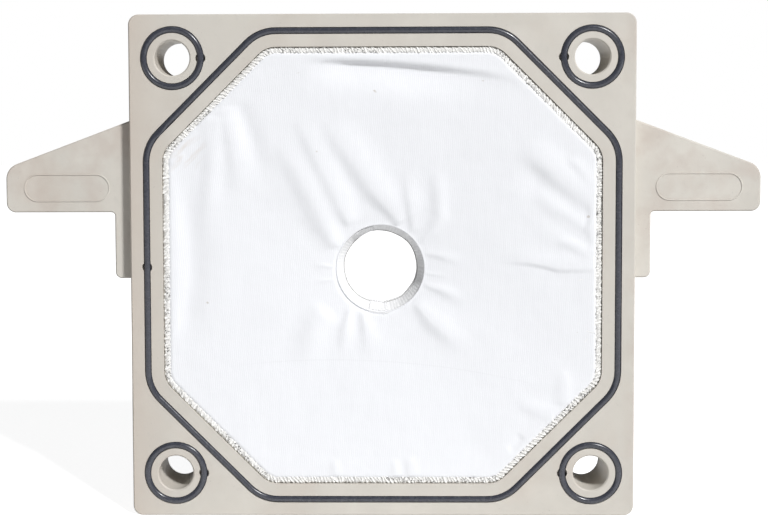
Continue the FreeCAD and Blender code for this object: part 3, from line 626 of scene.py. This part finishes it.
def sewing_thread(settings, name="edge_thread", share=1.0):
    """Spun thread, off-white."""
    look = Look(name)
    base = scaled(tuple(settings.thread), share)
    shade = look.spread(look.noise(260.0, 3.0), 0.3, 0.7)
    colour = look.tint(base, shade, 0.5, scaled(base, 0.82))
    ply = look.noise(1.0, 2.0, 0.5, look.stretch((4200.0, 4200.0, 1500.0), 0.7))
    normal = look.bump(ply, 0.00016, 0.8)
    return look.set(
        Base_Color=colour, Roughness=0.8, Normal=normal,
        Sheen_Weight=0.15, Specular_IOR_Level=0.25,
    )


# Pieces


def stage_scene():
    """Floor, light and camera."""
    settings = bpy.context.scene.press_stage
    form = bmesh.new()
    bmesh.ops.create_grid(form, x_segments=1, y_segments=1, size=6.0)
    bmesh.ops.translate(form, vec=(0.0, 2.0, CAD_BOX[0][2]), verts=form.verts)
    mesh = mesh_from(form, "floor", False)
    floor = bpy.data.objects.new("floor", mesh)
    add_to_scene(floor)
    look = Look("floor_paper")
    cloudy = look.spread(look.noise(3.0, 3.0), 0.3, 0.7)
    tone = look.blend(cloudy, tuple(settings.floor), scaled(settings.floor, 0.985))
    look.set(Base_Color=tone, Roughness=0.9)
    paper = look.surface.outputs[0]
    glow = look.node("Emission", [("Color", (1.0, 1.0, 1.0, 1.0)), ("Strength", 0.87)]).outputs[0]
    both = look.node("AddShader", [(0, paper), (1, glow)]).outputs[0]
    rays = look.node("LightPath").outputs
    seen = look.maths("MAXIMUM", rays["Is Camera Ray"], rays["Is Glossy Ray"])
    choose = look.node("MixShader", [(0, seen), (1, paper), (2, both)])
    look.tree.links.new(choose.outputs[0], look.tree.nodes["Material Output"].inputs["Surface"])
    mesh.materials.append(look.material)

    world = bpy.data.worlds.new("studio")
    bpy.context.scene.world = world
    world.use_nodes = True
    tree = world.node_tree
    light = tree.nodes["Background"]
    light.inputs["Color"].default_value = (0.97, 0.985, 1.0, 1.0)
    light.inputs["Strength"].default_value = settings.fill
    white = add_node(tree, "Background", [("Color", (1.0, 1.0, 1.0, 1.0)), ("Strength", 1.0)]).outputs[0]
    seen = add_node(tree, "LightPath").outputs["Is Camera Ray"]
    choose = add_node(tree, "MixShader", [(0, seen), (1, light.outputs[0]), (2, white)])
    tree.links.new(choose.outputs[0], tree.nodes["World Output"].inputs["Surface"])

    add_lamp("key_lamp", (6.49, -8.77, 8.77), (0.0, 0.0, 0.0), 1.7, settings.key)

    lens = bpy.data.cameras.new("camera")
    lens.lens = 60.617
    lens.sensor_width = 36.0
    lens.shift_x = 0.03482
    lens.shift_y = -0.11755
    lens.clip_start = 0.05
    lens.clip_end = 40.0
    camera = bpy.data.objects.new("camera", lens)
    camera.location = (-0.006374, -1.227032, 0.144685)
    camera.rotation_euler = (math.radians(87.17602), math.radians(0.17965), math.radians(0.78700))
    add_to_scene(camera)
    bpy.context.scene.camera = camera


def add_lamp(name, place, aim, size, power):
    """A square lamp turned towards a point."""
    data = bpy.data.lights.new(name, "AREA")
    data.shape = "SQUARE"
    data.size = size
    data.energy = power
    lamp = bpy.data.objects.new(name, data)
    lamp.location = place
    lamp.rotation_euler = (Vector(aim) - Vector(place)).to_track_quat("-Z", "Y").to_euler()
    add_to_scene(lamp)


def finish_plate():
    """The plate's own material and the raised borders on its handles."""
    settings = bpy.context.scene.press_plate
    material = polypropylene(settings)
    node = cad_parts["plate"]
    node.data.materials.clear()
    node.data.materials.append(material)
    for name, side in (("right_border", 1), ("left_border", -1)):
        middle = (side * BORDER_PLACE[0], BORDER_PLACE[1])
        border = raised_border(name, middle, BORDER_SIZE, settings.border_width, material)


def raised_border(name, middle, size, width, material):
    """A thin raised line round an oblong field on the front of a handle."""
    half = size[1] / 2
    run = size[0] / 2 - half
    form = bmesh.new()
    bmesh.ops.create_circle(form, cap_ends=False, radius=half, segments=48)
    bmesh.ops.rotate(form, cent=(0, 0, 0), matrix=Matrix.Rotation(math.pi / 2, 3, "X"), verts=form.verts)
    for vert in form.verts:
        vert.co.x += run if vert.co.x > 1e-7 else -run
    inner = bmesh.ops.extrude_edge_only(form, edges=form.edges[:])
    moved = [g for g in inner["geom"] if isinstance(g, bmesh.types.BMVert)]
    for vert in moved:
        centre = Vector((run if vert.co.x > 0 else -run, 0.0, 0.0))
        vert.co = centre + (vert.co - centre) * (1 - width / half)
    form.normal_update()
    faces = form.faces[:]
    if faces[0].normal.y > 0:
        bmesh.ops.reverse_faces(form, faces=faces)
    raised = bmesh.ops.extrude_face_region(form, geom=faces)
    top = [g for g in raised["geom"] if isinstance(g, bmesh.types.BMVert)]
    bmesh.ops.translate(form, vec=(0.0, -0.0006, 0.0), verts=top)
    bmesh.ops.recalc_face_normals(form, faces=form.faces)
    bmesh.ops.translate(form, vec=(middle[0], -HANDLE_FACE + 0.00002, middle[1]), verts=form.verts)
    bmesh.ops.bevel(
        form, geom=[e for e in form.edges if e.calc_face_angle(0.0) > 0.8], offset=0.00022,
        segments=2, profile=0.5, affect="EDGES", material=-1,
    )
    return new_object(name, mesh_from(form, name), material)


def make_seals():
    """The chamber gasket and the four port seals."""
    settings = bpy.context.scene.press_plate
    material = rubber(settings)
    mesh = octagon_curve("chamber_cord", 0.0, -(FACE - GASKET_DEPTH), GASKET_CORD, 5)
    shake_cord(mesh, 0.00018, 11.0)
    for vert in mesh.vertices:
        vert.co.y = min(vert.co.y, GASKET_SEAT)
    for middle in GASKET_SWELLINGS:
        swell_cord(mesh, middle)
    cord = new_object("chamber_cord", mesh, material)
    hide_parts("chamber_gasket")
    for name in ("top_left", "top_right", "bottom_left", "bottom_right"):
        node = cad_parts["port_seal_" + name]
        node.data.materials.clear()
        node.data.materials.append(material)


def shake_cord(mesh, amount, seed):
    """Small unevenness along a cord, as it has where it is pressed into its groove."""
    for vert in mesh.vertices:
        place = vert.co
        push = noise.noise_vector(Vector((place.x * 38, seed, place.z * 38)))
        fine = noise.noise_vector(Vector((place.x * 140, seed + 5, place.z * 140)))
        vert.co = place + Vector((push.x + 0.35 * fine.x, 0.8 * push.y, push.z + 0.35 * fine.z)) * amount


def swell_cord(mesh, middle):
    """A small swelling of the cord above its groove, where its ends are joined or it was trimmed."""
    for vert in mesh.vertices:
        apart = math.hypot(vert.co.x - middle[0], vert.co.z - middle[1])
        proud = smooth_step((-FACE - vert.co.y) / 0.0006)
        push = 0.0028 * proud * math.exp(-((apart / 0.0048) ** 2))
        if push > 0.00001:
            away = Vector((vert.co.x - middle[0], 0.0, vert.co.z - middle[1]))
            vert.co += away.normalized() * push


def make_cloth(name, folds, side, material, settings, seed, segments):
    """One filter cloth with its half of the neck; side is -1 for the front and 1 for the back."""
    centre = Vector((NECK_CENTRE[0], 0.0, NECK_CENTRE[1]))
    folds = [Fold(*fold) for fold in folds]
    reach = {}
    form = bmesh.new()
    bmesh.ops.create_circle(form, cap_ends=False, radius=WAIST, segments=segments)
    bmesh.ops.rotate(form, cent=(0, 0, 0), matrix=Matrix.Rotation(math.pi / 2, 3, "X"), verts=form.verts)
    bmesh.ops.translate(form, vec=centre, verts=form.verts)
    edges = form.edges[:]
    ring = form.verts[:]
    steps = neck_steps()
    for radius, level, tuck, follow in steps:
        if level:
            edges, ring = next_ring(form, edges)
        for vert in ring:
            ray = across_from(centre, vert.co)
            push = neck_push(ray, level, side, seed)
            slack = max(0.0, 0.25 - 0.75 * ray.x - 0.65 * ray.z)
            vert.co = centre + ray * (radius + push) + Vector((0.0, side * (level - tuck * slack), 0.0))
            if follow:
                rise, dip = fold_rise(vert.co, NECK_DEPTH, folds)
                vert.co.y += side * follow * (rise - dip)
    start = steps[-1][0]
    for number, share in enumerate(ring_shares(segments)):
        if number == segments // 12:
            edges = halve_ring(form, edges)
        edges, ring = next_ring(form, edges)
        for vert in ring:
            ray = across_from(centre, vert.co)
            key = round(math.atan2(ray.z, ray.x), 5)
            if key not in reach:
                reach[key] = rim_reach(ray, CLOTH_INSET)
            rim = reach[key]
            distance = start + (rim - start) * share
            place = centre + ray * distance
            drawn = math.log(rim / distance) / math.log(rim / start)
            fall = 0.35 * drawn + 0.65 * (rim - distance) / (rim - start)
            depth = cloth_depth(place, fall, rim - distance, folds, seed)
            vert.co = place + Vector((0.0, side * (FACE - depth), 0.0))
    form.normal_update()
    form.faces.ensure_lookup_table()
    if (form.faces[-1].normal.y > 0) != (side > 0):
        bmesh.ops.reverse_faces(form, faces=form.faces[:])
    cloth = new_object(name, mesh_from(form, name), material)
    thicken(cloth, settings.thickness, -1.0)
    return cloth


def thicken(thing, thickness, offset):
    """Give a sheet its thickness by a modifier."""
    thick = thing.modifiers.new("cloth_thickness", "SOLIDIFY")
    thick.thickness = thickness
    thick.offset = offset


def across_from(centre, point):
    """Direction across the plate from one point to another."""
    ray = (point - centre) * Vector((1, 0, 1))
    ray.normalize()
    return ray


def ring_shares(segments):
    """Where the rings of the cloth lie between its neck and its rim, from 0 to 1."""
    count = segments // 12 + segments // 10
    inner = [0.975 * (i / count) ** 0.94 for i in range(1, count + 1)]
    return inner + [0.982, 0.988, 0.993, 0.997, 1.0]


def next_ring(form, edges):
    """Extrudes an open ring of edges and gives the new ring's edges and vertices."""
    made = bmesh.ops.extrude_edge_only(form, edges=edges)
    ring = [g for g in made["geom"] if isinstance(g, bmesh.types.BMVert)]
    new = set(ring)
    return [g for g in made["geom"] if isinstance(g, bmesh.types.BMEdge) and new.issuperset(g.verts)], ring


def halve_ring(form, edges):
    """Splits each edge of an open ring in two and gives the halves."""
    made = bmesh.ops.subdivide_edges(form, edges=edges, cuts=1)
    halves = [g for g in made["geom_split"] if isinstance(g, bmesh.types.BMEdge)]
    if len(halves) != 2 * len(edges):
        raise RuntimeError("the ring of the cloth was not halved evenly")
    return halves


def neck_radius(level):
    """Radius of the neck's wall at a distance from its middle."""
    return WAIST + (MOUTH - WAIST) * min(1.0, level / NECK_WALL) ** 1.25


def neck_steps():
    """Radius and level of each ring of the neck, its tuck inwards and its share in the folds (lip in mm)."""
    wall = [(neck_radius(NECK_WALL * i / 7), NECK_WALL * i / 7, 0.0, 0.0) for i in range(8)]
    lip = (
        (0.04, 17.0, 0.0, 0.0), (0.22, 17.65, 0.0, 0.1), (0.7, 17.95, 0.0, 0.25), (1.15, 17.95, 0.25, 0.45),
        (1.5, 17.92, 0.75, 0.6), (1.9, 17.9, 0.8, 0.8), (2.7, 17.85, 0.15, 1.0),
    )
    return wall + [(MOUTH + out * MM, level * MM, tuck * MM, follow) for out, level, tuck, follow in lip]


def neck_push(ray, level, side, seed):
    """How far the neck's wall leaves a true circle in a direction, at a distance from its middle."""
    angle = math.atan2(ray.z, ray.x)
    calm = max(0.0, 1 - level / 0.0165) ** 1.5
    push = 0.0010 * calm * noise.noise(Vector((ray.x * 2.3, seed, ray.z * 2.3)))
    if side < 0:
        for at, width, height in ((-1.68, 0.20, -0.0013), (-1.50, 0.05, 0.0011), (-1.25, 0.16, -0.0006)):
            apart = math.remainder(angle - at, 2 * math.pi)
            push += height * calm * math.exp(-((apart / width) ** 2))
    return push


def make_edge(name, side, settings, material, core_material, node, seed):
    """The roped edge of a cloth with its overlock stitches."""
    level = side * (FACE - EDGE_CORD_DEPTH)
    mesh = octagon_curve(name + "_core", EDGE_CORD_INSET, level, EDGE_ROPE, 3)
    flat = Matrix.Translation((0.0, level, 0.0)) @ Matrix.Diagonal((1.0, 0.86, 1.0, 1.0))
    mesh.transform(flat @ Matrix.Translation((0.0, -level, 0.0)))
    shake_cord(mesh, 0.00025, seed)
    core = new_object(name + "_rope", mesh, core_material)
    pick = random.Random(seed)
    base = stitch_shape()
    form = bmesh.new()
    for place, along, out in octagon_walk(EDGE_CORD_INSET, settings.stitch_pitch):
        stitch = base.copy()
        slant = pick.uniform(0.2, 1.7)
        slide = pick.uniform(-0.0007, 0.0007)
        thick = pick.uniform(0.8, 1.3)
        inner = pick.uniform(0.92, 1.22)
        high = pick.uniform(0.94, 1.04)
        for vert in stitch.verts:
            around, wide, swell = vert.co
            knot = math.exp(-(((abs(around) - 0.80) / 0.45) ** 2))
            body = THREAD * thick * (0.62 + 0.56 * knot)
            radius = STITCH_RADIUS * high + 0.62 * swell * body
            reach = inner if around < 0 else 1.06
            up = math.copysign(abs(math.cos(around)) ** 0.6, math.cos(around)) * radius
            over_lip = 2.0 * max(0.0, up - LIP_RISE)
            across = max(min(math.sin(around) * radius * reach, GROOVE_ROOM), -GROOVE_ROOM - over_lip)
            shift = slide + slant * math.sin(around) * STITCH_SLANT + wide * body
            spot = place + along * shift + out * across
            vert.co = spot + Vector((0.0, level + side * up, 0.0))
        part = bpy.data.meshes.new("stitch")
        stitch.to_mesh(part)
        stitch.free()
        form.from_mesh(part)
        bpy.data.meshes.remove(part)
    base.free()
    bmesh.ops.recalc_face_normals(form, faces=form.faces)
    stitches = new_object(name + "_stitches", mesh_from(form, name + "_stitches"), material)
    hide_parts(node)
    return core, stitches


def stitch_shape():
    """One stitch laid out flat: X is the angle over the rope, Y runs along it and Z is the height."""
    steps = 9
    form = bmesh.new()
    bmesh.ops.create_circle(form, cap_ends=True, radius=1.0, segments=5)
    bmesh.ops.rotate(form, cent=(0, 0, 0), matrix=Matrix.Rotation(math.pi / 2, 3, "Y"), verts=form.verts)
    bmesh.ops.translate(form, vec=(-2.0, 0.0, 0.3), verts=form.verts)
    faces = form.faces[:]
    for _ in range(steps):
        made = bmesh.ops.extrude_face_region(form, geom=faces)
        faces = [g for g in made["geom"] if isinstance(g, bmesh.types.BMFace)]
        verts = [g for g in made["geom"] if isinstance(g, bmesh.types.BMVert)]
        bmesh.ops.translate(form, vec=(4.0 / steps, 0.0, 0.0), verts=verts)
    return form


def make_cloths():
    """Both filter cloths with their necks and roped edges."""
    settings = bpy.context.scene.press_cloth
    fabric = filter_fabric(settings)
    thread = sewing_thread(settings)
    core = sewing_thread(settings, "rope_core", 0.88)
    folds = NECK_FOLDS + RIM_FOLDS
    front = make_cloth("front_filter_cloth", folds, -1, fabric, settings, FRONT_SEED, 372)
    back = make_cloth("back_filter_cloth", NECK_FOLDS[::2], 1, fabric, settings, 9.1, 256)
    for cloth, node in ((front, "front_cloth"), (back, "back_cloth")):
        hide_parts(node)
    front_rope, front_stitches = make_edge("front_edge", -1, settings, thread, core, "front_edge_cord", 5)
    back_rope, back_stitches = make_edge("back_edge", 1, settings, thread, core, "back_edge_cord", 6)
    # The seam's thread is darkened to 0.55 of the edge thread, painted shade along the seam's raw edge
    seam, seam_shade_thread = make_neck_seam(fabric, sewing_thread(settings, "seam_shade_thread", 0.55))
    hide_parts("cloth_neck")
    laps = [
        neck_lap("neck_lap_low", -1.62, 0.24, fabric, 1.3),
        neck_lap("neck_lap_high", 1.98, 0.22, fabric, 2.6),
    ]
    ends = make_loose_ends(thread)


def make_neck_seam(fabric, thread):
    """The band where the two cloths' necks overlap, and the seam that joins them, its thread darkened as
    painted shade along the raw edge.
    """
    form = bmesh.new()
    start = form.verts.new((WAIST, -0.0035, 0.0))
    end = form.verts.new((WAIST, 0.0035, 0.0))
    edge = form.edges.new((start, end))
    bmesh.ops.subdivide_edges(form, edges=[edge], cuts=4)
    band = spin_in_neck(form, "neck_seam", -0.0001, fabric)
    thicken(band, 0.0009, 1.0)
    # Seam thread, darker than the edge thread: painted shade along the seam's raw edge
    form = bmesh.new()
    bmesh.ops.create_circle(form, cap_ends=False, radius=0.00032, segments=6)
    bmesh.ops.translate(form, vec=(WAIST, -0.0036, 0.0), verts=form.verts)
    line = spin_in_neck(form, "neck_seam_thread", -0.00035, thread)
    return band, line


def spin_in_neck(form, name, shift, material):
    """A profile turned round the neck's axis, laid along the neck's wall."""
    bmesh.ops.spin(
        form, geom=form.verts[:] + form.edges[:], cent=(0, 0, 0), axis=(0, 1, 0),
        angle=2 * math.pi, steps=160, use_merge=True,
    )
    for vert in form.verts:
        flat = Vector((vert.co.x, 0.0, vert.co.z))
        level = abs(vert.co.y)
        ray = flat.normalized()
        out = flat.length - WAIST + neck_radius(level) + neck_push(ray, level, -1, FRONT_SEED) + shift
        vert.co = ray * out + Vector((0.0, vert.co.y, 0.0))
    bmesh.ops.translate(form, vec=(NECK_CENTRE[0], 0.0, NECK_CENTRE[1]), verts=form.verts)
    bmesh.ops.recalc_face_normals(form, faces=form.faces)
    return new_object(name, mesh_from(form, name), material)


def neck_lap(name, angle, half, fabric, seed):
    """A sewn lap of cloth inside the neck, by its middle's angle and half the angle that it takes up."""
    outer, inner = NECK_WALL, 0.0042
    form = bmesh.new()
    bmesh.ops.create_grid(form, x_segments=16, y_segments=12, size=1.0)
    for vert in form.verts:
        u, v = vert.co.x, vert.co.y
        ragged = 0.0007 * noise.noise(Vector((u * 9, seed, 0.0)))
        turn = angle + half * u + 0.02 * noise.noise(Vector((v * 6, seed, 4.0)))
        level = inner + (outer - inner) * (1 + v) / 2 + ragged
        ray = Vector((math.cos(turn), 0.0, math.sin(turn)))
        lift = 0.0008 + 0.0004 * max(0.0, abs(u) - 0.8) / 0.2
        out = neck_radius(level) + neck_push(ray, level, -1, FRONT_SEED) - lift
        vert.co = Vector((NECK_CENTRE[0], -level, NECK_CENTRE[1])) + ray * out
    form.normal_update()
    form.faces.ensure_lookup_table()
    middle = form.faces[len(form.faces) // 2]
    if middle.normal.dot(Vector((math.cos(angle), 0.0, math.sin(angle)))) > 0:
        bmesh.ops.reverse_faces(form, faces=form.faces[:])
    lap = new_object(name, mesh_from(form, name), fabric)
    thicken(lap, 0.0005, -1.0)
    return lap


def make_loose_ends(material):
    """Loose thread ends along the front cloth's rim and under its neck."""
    ends = [
        ((187.6, -26.6, -12.6), (185.5, -26.9, -12.2), (182.5, -26.9, -13.2)),
        ((199.0, -27.6, -62.6), (194.5, -27.2, -61.6), (190.2, -26.9, -60.4)),
        ((191.2, -27.0, -67.4), (189.4, -27.1, -69.6), (188.0, -26.9, -71.6)),
        ((-12.6, -18.7, -42.2), (-10.5, -18.9, -43.5), (-8.0, -18.8, -43.2), (-6.4, -18.9, -44.8)),
        ((-5.5, -18.8, -43.4), (-2.5, -19.0, -44.6), (0.5, -18.9, -43.8), (2.6, -19.0, -45.4)),
        ((1.2, -18.9, -43.6), (4.4, -19.0, -44.3), (7.6, -18.7, -43.4)),
    ]
    data = bpy.data.curves.new("loose_ends", "CURVE")
    data.dimensions = "3D"
    data.bevel_depth = 0.00016
    data.bevel_resolution = 1
    data.use_fill_caps = True
    for points in ends:
        spline = data.splines.new("POLY")
        spline.points.add(len(points) - 1)
        for point, place in zip(spline.points, points):
            point.co = (place[0] * MM, place[1] * MM, place[2] * MM, 1.0)
    return new_object("loose_ends", mesh_of_curve(data, "loose_ends"), material)


class PRESSPLATE_OT_stage(bpy.types.Operator):
    """Add the floor, the lamp and the camera"""

    bl_idname = "press_plate.stage"
    bl_label = "Add Stage"

    def execute(self, context):
        stage_scene()
        return {"FINISHED"}


class PRESSPLATE_OT_plate(bpy.types.Operator):
    """Finish the moulded plate"""

    bl_idname = "press_plate.plate"
    bl_label = "Finish Plate"

    def execute(self, context):
        finish_plate()
        return {"FINISHED"}


class PRESSPLATE_OT_seals(bpy.types.Operator):
    """Add the rubber seals"""

    bl_idname = "press_plate.seals"
    bl_label = "Add Seals"

    def execute(self, context):
        make_seals()
        return {"FINISHED"}


class PRESSPLATE_OT_cloths(bpy.types.Operator):
    """Add the filter cloths with their roped edges and neck"""

    bl_idname = "press_plate.cloths"
    bl_label = "Add Filter Cloths"

    def execute(self, context):
        make_cloths()
        return {"FINISHED"}


class PRESSPLATE_PT_panel(bpy.types.Panel):
    """Steps that finish the plate"""

    bl_idname = "PRESSPLATE_PT_panel"
    bl_label = "Press Plate"
    bl_space_type = "VIEW_3D"
    bl_region_type = "UI"
    bl_category = "Press Plate"

    def draw(self, context):
        layout = self.layout
        for step in STEPS:
            layout.operator(step.bl_idname)
        for group, names in (
            (context.scene.press_plate, ("face", "handle", "rubber", "border_width")),
            (context.scene.press_cloth, ("weave", "thread", "thickness", "stitch_pitch")),
            (context.scene.press_stage, ("floor", "key", "fill")),
        ):
            for name in names:
                layout.prop(group, name)


STEPS = (PRESSPLATE_OT_stage, PRESSPLATE_OT_plate, PRESSPLATE_OT_seals, PRESSPLATE_OT_cloths)
CLASSES = (PlateSettings, ClothSettings, StageSettings) + STEPS + (PRESSPLATE_PT_panel,)


def register():
    """Make the settings, steps and panel known."""
    for item in CLASSES:
        bpy.utils.register_class(item)
    bpy.types.Scene.press_plate = bpy.props.PointerProperty(type=PlateSettings)
    bpy.types.Scene.press_cloth = bpy.props.PointerProperty(type=ClothSettings)
    bpy.types.Scene.press_stage = bpy.props.PointerProperty(type=StageSettings)


def unregister():
    """Take them away again."""
    del bpy.types.Scene.press_stage
    del bpy.types.Scene.press_cloth
    del bpy.types.Scene.press_plate
    for item in reversed(CLASSES):
        bpy.utils.unregister_class(item)


def main():
    """Build the whole scene."""
    register()
    bpy.context.scene.view_settings.view_transform = "Standard"
    bpy.ops.press_plate.stage()
    bpy.ops.press_plate.plate()
    bpy.ops.press_plate.seals()
    bpy.ops.press_plate.cloths()


if __name__ == "__main__":
    main()
